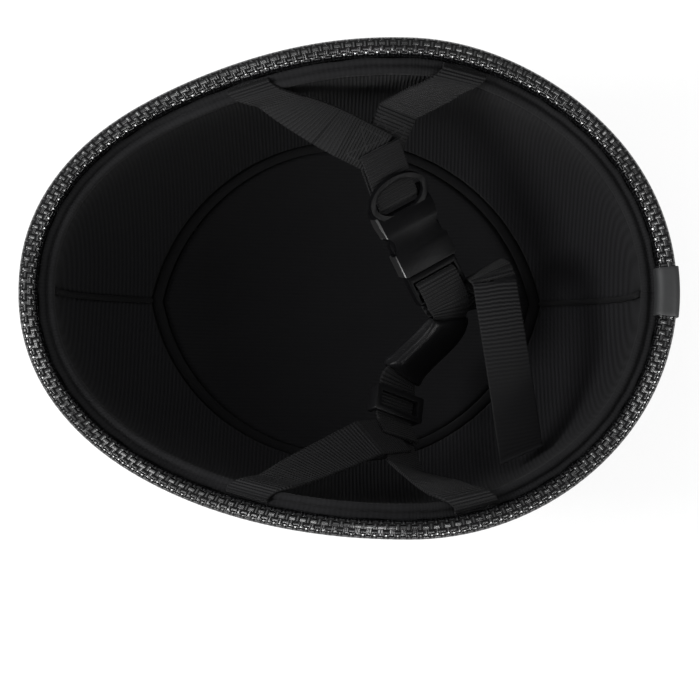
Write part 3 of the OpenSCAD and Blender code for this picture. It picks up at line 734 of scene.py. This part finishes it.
def strap_crest(a):
    return wall_point(a, *pocket_route[hem_crest])


def leaning(a, i):
    """Past the hem's crest a strap leans along the edge, towards the other strap of its pair."""
    last_level = hem_crest - 1
    past = max(0, i - last_level) / (route_end - last_level)
    lean = strap_lean * past**1.6 / edge_step(a).length
    return a + math.copysign(lean, math.sin(math.radians(2 * a)))


def pocket_end(a):
    return wall_point(leaning(a, route_end), *pocket_route[route_end])


def meeting(front_a, rear_a, back, inwards, down):
    middle = (strap_crest(front_a) + strap_crest(rear_a)) / 2
    return Vector((back, middle.y - math.copysign(inwards, middle.y), middle.z - down))


def strap_plane(front_a, rear_a, meet):
    face = (meet - pocket_end(front_a)).cross(meet - pocket_end(rear_a)).normalized()
    return -face if face.z < 0 else face


def lap_plane(face, across, out):
    """A sewn end's plane: it holds the width of the piece that it carries."""
    return (in_plane(face, across) * 0.65 + out * 0.35).normalized()


left_front_a, left_rear_a, right_front_a, right_rear_a = 115.2, 76.5, 245.3, 286.6
left_meet = meeting(left_front_a, left_rear_a, 15.4, 31, 31.1)
right_meet = meeting(right_front_a, right_rear_a, 22, 25.4, 48.9)
buckle_u = Vector((0.44, -0.865, -0.24)).normalized()
flat_v = -buckle_u.cross(Vector((0, 0, 1))).normalized()
flat_n = buckle_u.cross(flat_v)
buckle_roll = math.radians(12)
buckle_v = flat_v * math.cos(buckle_roll) - flat_n * math.sin(buckle_roll)
buckle_n = buckle_u.cross(buckle_v)
left_face = lap_plane(strap_plane(left_front_a, left_rear_a, left_meet), buckle_v, buckle_n)
yoke_u = in_plane(buckle_u, left_face)
slider_u = Vector((-0.1, -0.93, 0.3)).normalized()
slider_v = in_plane(Vector((0.8, -0.1, -0.6)), slider_u)
slider_n = slider_u.cross(slider_v)
right_face = lap_plane(strap_plane(right_front_a, right_rear_a, right_meet), slider_v, slider_n)
ply = strap_t + 0.1


def strap_route(a, meet, lap_back, lift, face):
    """Middle line of a strap and the way its width points, from the rivet to the sewn end."""
    deep = inward(wall_turn(a, -rivet_drop))
    middle = wall_point(a, *pocket_route[1])
    up = in_plane(wall_point(a, *pocket_route[3]) - middle, deep)
    route = [middle - up * strap_end_l, middle, middle + up * rivet_flat]
    hints = [deep.cross(up)] * 3
    for i in range(3, route_end + 1):
        inset, rise = pocket_route[i]
        route.append(wall_point(leaning(a, i), inset, rise))
        hints.append(edge_way(wall_turn(leaning(a, i), rise)))
    start = route[-1]
    end = meet - lap_back + face * lift
    way = in_plane(end - start, face)
    bend = end - way * (strap_lap + 1.5)
    side = face.cross(meet - lap_back - start).normalized()
    level = edge_way(a)
    side = -side if side.dot(level) < 0 else side
    for k in (0.25, 0.6, 0.9):
        route.append(start.lerp(bend, k))
        hints.append(level.lerp(side, k))
    return route + [bend, end - way * strap_lap, end + way * 0.5], hints + [side] * 3


def curve_through(points, count):
    """A smooth line through points, with that many steps of even length."""
    ends = [points[0] * 2 - points[1], *points, points[-1] * 2 - points[-2]]
    fine = []
    for i in range(1, len(ends) - 2):
        p0, p1, p2, p3 = ends[i - 1 : i + 3]
        knots = [0.0]
        for a, b in ((p0, p1), (p1, p2), (p2, p3)):
            knots.append(knots[-1] + max((b - a).length, 1e-6) ** 0.5)
        t0, t1, t2, t3 = knots
        for j in range(16):
            t = mix(t1, t2, j / 16)
            a1 = p0.lerp(p1, (t - t0) / (t1 - t0))
            a2 = p1.lerp(p2, (t - t1) / (t2 - t1))
            a3 = p2.lerp(p3, (t - t2) / (t3 - t2))
            b1 = a1.lerp(a2, (t - t0) / (t2 - t0))
            b2 = a2.lerp(a3, (t - t1) / (t3 - t1))
            fine.append((i - 1 + j / 16, b1.lerp(b2, (t - t1) / (t2 - t1))))
    fine.append((len(points) - 1, points[-1]))
    marks = lengths([point for place, point in fine])
    line = []
    at = 0
    for k in range(count + 1):
        want = marks[-1] * k / count
        while at < len(marks) - 2 and marks[at + 1] < want:
            at += 1
        share = (want - marks[at]) / (marks[at + 1] - marks[at])
        place = mix(fine[at][0], fine[at + 1][0], share)
        line.append((place, fine[at][1].lerp(fine[at + 1][1], share)))
    return line, marks[-1]


corner_x, corner_y = strap_w / 2 - strap_corner_r, strap_t / 2 - strap_corner_r
strap_outline = [
    *arc(corner_x, corner_y, strap_corner_r, 0, 90, 3),
    *arc(-corner_x, corner_y, strap_corner_r, 90, 180, 3),
    *arc(-corner_x, -corner_y, strap_corner_r, 180, 270, 3),
    *arc(corner_x, -corner_y, strap_corner_r, 270, 360, 3),
]
strap_outline.append(strap_outline[0])
strap_steps = 120


def ribbon(name, route, hints, first=0.0, last=1.0, count=strap_steps, slant=0.0, ruled=False):
    """A strap along its route, with its width along the hints.

    Its chart is 0 at the route's last point. A ruled one keeps the hints as they are.
    """
    line, long = curve_through(route, count)
    start, stop = round(first * count), round(last * count)

    def frame_at(i):
        place, centre = line[i]
        low = min(int(place), len(hints) - 2)
        hint = hints[low].lerp(hints[low + 1], place - low)
        way = (line[min(i + 1, count)][1] - line[max(i - 1, 0)][1]).normalized()
        side = hint.normalized() if ruled else in_plane(hint, way)
        return centre, side, way.cross(side).normalized()

    frames = [frame_at(i) for i in range(start, stop + 1)]

    def corner(s, k):
        centre, side, up = at_share(frames, s)
        x, y = at_share(strap_outline, k)
        return centre + (side + side.cross(up) * slant * smooth(s * 8 - 7)) * x + up * y

    def chart(s, k):
        return long * (1 - (start + s * (stop - start)) / count), at_share(strap_outline, k)[0]

    return loft(name, stop - start, len(strap_outline) - 1, corner, chart)


def webbing_finish(name, dark, light, sewn):
    """Woven webbing: cross ribs, fine columns, and on a sewn end a box of stitches."""
    box_at, box_half_l, box_half_w, seam_w = 9.5, 7.2, 7.4, 0.7
    web = Finish(name, 0.66, Specular_IOR_Level=0.05, Sheen_Weight=0.03, Sheen_Roughness=0.5)
    along, across = web.chart()
    columns = across.wave(1.25)
    ribs = (along + columns * 0.15).wave(1.6)
    height = ribs * 0.88 + columns * 0.12
    if sewn:
        from_middle, from_axis = (along - box_at).size(), across.size()
        near = (from_middle < box_half_l) * (from_axis < box_half_w)
        inner = (from_middle < box_half_l - seam_w) * (from_axis < box_half_w - seam_w)
        cross = (from_middle - from_axis).size() < 0.45
        thread = (near - inner + inner * cross) * ((along + across) % 2.6 < 1.9)
        height = height * (1 - thread) + thread * 1.3
    # The colour follows the relief: painted shade in the ribs' grooves, lighter on the crests and on the
    # raised stitches.
    web.color(height * 0.75 + web.noise(40, 2) * 0.4, dark, light)
    web.relief(height + web.noise(2500, 1) * 0.2, 0.00045)
    return web


webbing = webbing_finish("sewn_webbing", (0.0016, 0.0016, 0.0018), (0.0095, 0.0095, 0.0103), True)
left_lap_back = yoke_u * 6.5
left_pair = (
    ("left_front_strap", left_front_a, left_meet, left_lap_back, ply / 2, left_face),
    ("left_rear_strap", left_rear_a, left_meet, left_lap_back, -ply / 2, left_face),
)
right_pair = (
    ("right_front_strap", right_front_a, right_meet, Vector(), 0, right_face),
    ("right_rear_strap", right_rear_a, right_meet, Vector(), -ply, right_face),
)
half_way = 0.7
wall_blend, sewn_blend, right_blend = (56, 82), (90, 116), (56, 104)


def strap_piece(name, node, route, hints, first, last, steps):
    """A length of a strap between two shares of its route, dressed as its node and baked in place."""
    piece = ribbon(name, route, hints, first, last, ruled=True)
    dress(piece, webbing, node)
    line = curve_through(route, strap_steps)[0]
    start, end = (line[step][1] * MM for step in steps)
    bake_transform(piece)
    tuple(start)
    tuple(end)


for node, *shape in left_pair:
    route, hints = strap_route(*shape)
    strap_piece(node + "_wall_half", node, route, hints, 0.0, half_way, wall_blend)
    strap_piece(node + "_sewn_half", node, route, hints, half_way, 1.0, sewn_blend)
for node, *shape in right_pair:
    route, hints = strap_route(*shape)
    strap_piece(node + "_web", node, route, hints, 0.0, 1.0, right_blend)

# Each strap is held by a steel rivet with a black domed head outside the shell and a washer
# inside on the webbing.
paint = Finish("black_rivet_paint", 0.35, Metallic=0.6, Coat_Weight=0.3)
paint.color(paint.noise(800, 2), (0.008, 0.008, 0.008), (0.02, 0.02, 0.02))
paint.relief(paint.noise(2500, 2), 0.00002)
steel = Finish("zinc_washer", 0.4, Metallic=1.0)
steel.color(steel.noise(500, 3), (0.28, 0.28, 0.29), (0.42, 0.42, 0.43))
steel.relief(steel.noise(1800, 2), 0.00002)
repaint("strap_rivets", paint)
repaint("rivet_washers", steel)

# The left straps' ends are sewn round a loop of the same webbing, which carries the buckle's
# receiving half on its bar.
yoke_l = 17.0
loop_bar = left_meet + yoke_u * yoke_l
layers = 1.5 * ply
loop_start = left_meet - yoke_u * 10
loop_turn = [math.radians(k) for k in range(90, -91, -15)]
loop_route = [
    loop_start + left_face * layers,
    *[loop_bar + yoke_u * layers * math.cos(k) + left_face * layers * math.sin(k) for k in loop_turn],
    loop_start - left_face * layers,
]
yoke_loop = ribbon("yoke_loop_web", loop_route, [buckle_v] * len(loop_route))
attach(dress(yoke_loop, webbing, "left_yoke_loop"), "receiving_half")

# The side-release buckle is moulded in black acetal: a receiving half with a rounded webbing
# frame, and a plug half whose two latches show their thumb faces in its side windows. The wall
# towards the brow is glossier past the frame.
loop_bar_u, female_l, mouth_gap, male_l, male_half_t = 17.0, 34.0, 0.4, 15.4, 3.0
buckle_at = loop_bar - buckle_u * loop_bar_u
acetal = Finish("black_acetal", 0.38, Specular_IOR_Level=0.014, Coat_Roughness=0.4)
acetal.color(acetal.noise(300, 3), (0.003, 0.003, 0.0033), (0.005, 0.005, 0.0055))
acetal.relief(acetal.noise(1600, 3), 0.00006)
glossy_v, glossy_u = -12.9, 21.0
x, y, z = acetal.split(acetal.space())


def along_buckle(way):
    return (x * way.x + y * way.y + z * way.z) * 1000 - buckle_at.dot(way)


glossy = (along_buckle(buckle_v) < glossy_v) * (along_buckle(buckle_u) > glossy_u)
acetal.set(acetal.shader.inputs["Coat Weight"], glossy)


def moulded_copy(name, node, finish, body, width):
    """The node's own shape, with its flat faces joined and its edges rounded as if moulded."""
    shape = bmesh.new()
    shape.from_mesh(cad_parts[node].data)
    bmesh.ops.remove_doubles(shape, verts=shape.verts, dist=2e-6)
    bmesh.ops.dissolve_limit(shape, angle_limit=math.radians(1), verts=shape.verts, edges=shape.edges)
    made = smooth_object(name, shape)
    soften(made, width, 24)
    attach(dress(made, finish, node), body)


moulded_copy("receiving_half_moulding", "female_buckle", acetal, "receiving_half", 0.4)
moulded_copy("plug_half_moulding", "male_buckle", acetal, "chin_assembly", 0.35)
moulded_copy("front_latch_moulding", "front_latch", acetal, "front_latch", 0.3)
moulded_copy("rear_latch_moulding", "rear_latch", acetal, "rear_latch", 0.3)

# The chin strap is one length of webbing: from the right straps' seam through the slider, under
# the chin, through the plug's slot and back beside the buckle, where the loose tail begins.
male_u = loop_bar_u + female_l + mouth_gap
male_end = male_u + male_l
slot_u = male_u + 3 + 1.8
strap_clear = male_half_t + 0.15 + strap_t / 2
seam_at = right_meet + right_face * ply
seam_u = in_plane(slider_u, right_face)
slider_half_l = 6.0
slider_at = seam_at - seam_u * 8 - slider_u * (slider_half_l + 2)


def in_buckle(u, v, n):
    return buckle_at + buckle_u * u + buckle_v * v + buckle_n * n


def beside_buckle(u, v, n):
    return buckle_at + buckle_u * u + flat_v * v + flat_n * n


def chin_curve(k):
    a = in_buckle(male_end + 2, 0, strap_clear)
    d = slider_at - slider_u * (slider_half_l + 3)
    b, c = a + buckle_u * 16, d - slider_u * 14
    return a * (1 - k) ** 3 + b * 3 * k * (1 - k) ** 2 + c * 3 * k * k * (1 - k) + d * k**3


def chin_hint(k):
    """The way of the strap's width: it turns after the plug and again before the slider."""
    side = Vector((-0.62, 0.1, 0.78))
    if k < 0.5:
        return (-buckle_v).lerp(side, smooth(k * 4))
    return side.lerp(-slider_v, smooth(k * 4 - 3))


tail_loop = [
    (68.6, 23, 7.6),
    (66.5, 23.4, 5.6),
    (65.6, 23.3, 1),
    (65.5, 22.6, -6),
    (67, 21, -13.5),
    (71, 18, -19.5),
    (76.5, 14, -20.5),
    (80, 9.5, -16),
    (79, 5.5, -10),
    (74.5, 2, -6),
]
wrap = [
    (male_end + 2, -strap_clear),
    (slot_u + 1.6, -strap_clear),
    (slot_u + 0.3, -strap_clear + 0.7),
    (slot_u, -strap_clear + 2),
    (slot_u, strap_clear - 2),
    (slot_u + 0.3, strap_clear - 0.7),
    (slot_u + 1.6, strap_clear),
]
chin_steps = 16
chin_route = [beside_buckle(*point) for point in tail_loop]
chin_route += [in_buckle(u, 0, n) for u, n in wrap]
chin_hints = [-buckle_v] * len(chin_route)
chin_route += [chin_curve(k / chin_steps) for k in range(chin_steps + 1)]
chin_hints += [chin_hint(k / chin_steps) for k in range(chin_steps + 1)]
slider_far = slider_at + slider_u * (slider_half_l + 1)
chin_route += [slider_far, seam_at - seam_u * 4, seam_at, seam_at + seam_u * 3]
chin_hints += [-slider_v] * 4
plain_webbing = webbing_finish("plain_webbing", (0.002, 0.002, 0.0022), (0.0075, 0.0075, 0.0081), False)
chin = ribbon("chin_strap_web", chin_route, chin_hints, count=400)
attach(dress(chin, plain_webbing, "chin_strap"), "chin_assembly")

# The chin pad is a soft sleeve of smooth synthetic leather over foam, slipped on the webbing
# under the chin, with a seam along its edges.
pad_half_t, pad_back_t, pad_end_t = 4.7, 1.95, 2.2
pad_half_w, pad_back_half_w, pad_end_half_w = 12.5, 10.5, 11.2
pad_first, pad_last = 3 / chin_steps, 14 / chin_steps
pad_rows, pad_count = 48, 40


def pad_frame(k):
    way = (chin_curve(k + 0.01) - chin_curve(k - 0.01)).normalized()
    side = in_plane(chin_hint(k), way)
    return chin_curve(k), side, way.cross(side)


pad_frames = [pad_frame(mix(pad_first, pad_last, i / pad_rows)) for i in range(pad_rows + 1)]


def pad_corner(s, t):
    k, side = there_and_back(t)
    centre, across, up = at_share(pad_frames, k)
    turn = math.tau * s
    round_x = math.copysign(abs(math.cos(turn)) ** 0.42, math.cos(turn))
    round_y = math.copysign(abs(math.sin(turn)) ** 0.62, math.sin(turn))
    full = pillow(k, 0.3 if k < 0.5 else 0.14)
    if side > 0:
        crease = 1 - 0.05 * math.exp(-((math.sin(turn) / 0.12) ** 2))
        half_w = mix(pad_end_half_w, pad_half_w, full) * crease
        half_t = mix(pad_end_t, pad_half_t, full)
    else:
        half_w = mix(pad_end_half_w, pad_back_half_w, full)
        half_t = mix(pad_end_t, pad_back_t, full)
    return centre + across * half_w * round_x + up * half_t * round_y


chin_pad = loft("chin_pad_leather", pad_count, pad_rows * 2, pad_corner, lambda s, t: (66 * s, 90 * t))
leather = Finish("smooth_synthetic_leather", 0.3, Specular_IOR_Level=0.03)
grain = leather.cells(900.0)
leather.color(leather.noise(120, 3), (0.004, 0.004, 0.0043), (0.008, 0.008, 0.0086))
leather.relief(grain * 1.2 + leather.noise(120, 3) * 1.5, 0.00012)
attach(dress(chin_pad, leather, "chin_pad"), "chin_assembly")

# The loose tail is the rest of the chin webbing past the buckle. It lies across the opening
# and its end is cut and melted, so that it does not fray.
tail_a, tail_z, tail_gap = 303.4, 86.0, 5.6
tail_cut = math.tan(math.radians(15))


def tail_wall(inset, a):
    lean = math.degrees(math.acos(((upright_h - tail_z) / (upright_h - lining_high)) ** (fullness / 2)))
    return on_bowl(inset, lining_high, a, lean)


tail_end = tail_wall(lining_in + tail_gap, tail_a)
tail_start = beside_buckle(tail_loop[0][0] + 1.1, tail_loop[0][1] - 0.05, tail_loop[0][2] + 0.3)
tail_side = (tail_wall(lining_in, tail_a - 2) - tail_wall(lining_in, tail_a + 2)).normalized()
tail_stops = (0, 0.08, 0.2, 0.4, 0.6, 0.8, 1)
tail_arch = 3.0
tail_arches = [Vector((0, 0, tail_arch * math.sin(math.pi * k))) for k in tail_stops]
tail_route = [tail_start.lerp(tail_end, k) + arch for k, arch in zip(tail_stops, tail_arches)]
tail_hints = [(-buckle_v).lerp(tail_side, k) for k in tail_stops]
tail = ribbon("loose_tail_web", tail_route, tail_hints, slant=tail_cut)
tail_web = Finish("tail_webbing", 0.66, Specular_IOR_Level=0.05, Sheen_Weight=0.02, Sheen_Roughness=0.5)
along, across = tail_web.chart()
tail_ribs = (along + across.wave(3.3) * 0.14 + tail_web.noise(70, 1) * 1.4).wave(1.8)
# Towards the cut end the ribs fade, and the colour darkens there as painted shade. The melted end is
# real, and its lighter colour is a painted highlight.
from_end = tail_web.clamped_line(along, 0.03, -0.9)
ribs_faded_for_shade = tail_ribs * (from_end * 0.8 + 0.2)
melted_end_and_highlight = along < 1.3
tail_shade = ribs_faded_for_shade * 0.8 + tail_web.noise(40, 2) * 0.4 + melted_end_and_highlight
tail_web.color(tail_shade, (0.0025, 0.0025, 0.0028), (0.0085, 0.0085, 0.0092))
tail_web.relief(ribs_faded_for_shade * (1 - melted_end_and_highlight) + melted_end_and_highlight * tail_web.noise(500, 2), 0.0003)
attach(dress(tail, tail_web, "strap_tail"), "loose_tail")

# The slider is a small three-bar frame of black acetal, which holds the chin webbing's end
# and lets it be drawn shorter.
slider_acetal = Finish("slider_acetal", 0.36, Specular_IOR_Level=0.08)
slider_acetal.color(slider_acetal.noise(300, 3), (0.003, 0.003, 0.0033), (0.006, 0.006, 0.0065))
slider_acetal.relief(slider_acetal.noise(1600, 3), 0.00006)
moulded_copy("slider_moulding", "strap_slider", slider_acetal, "slider", 0.3)
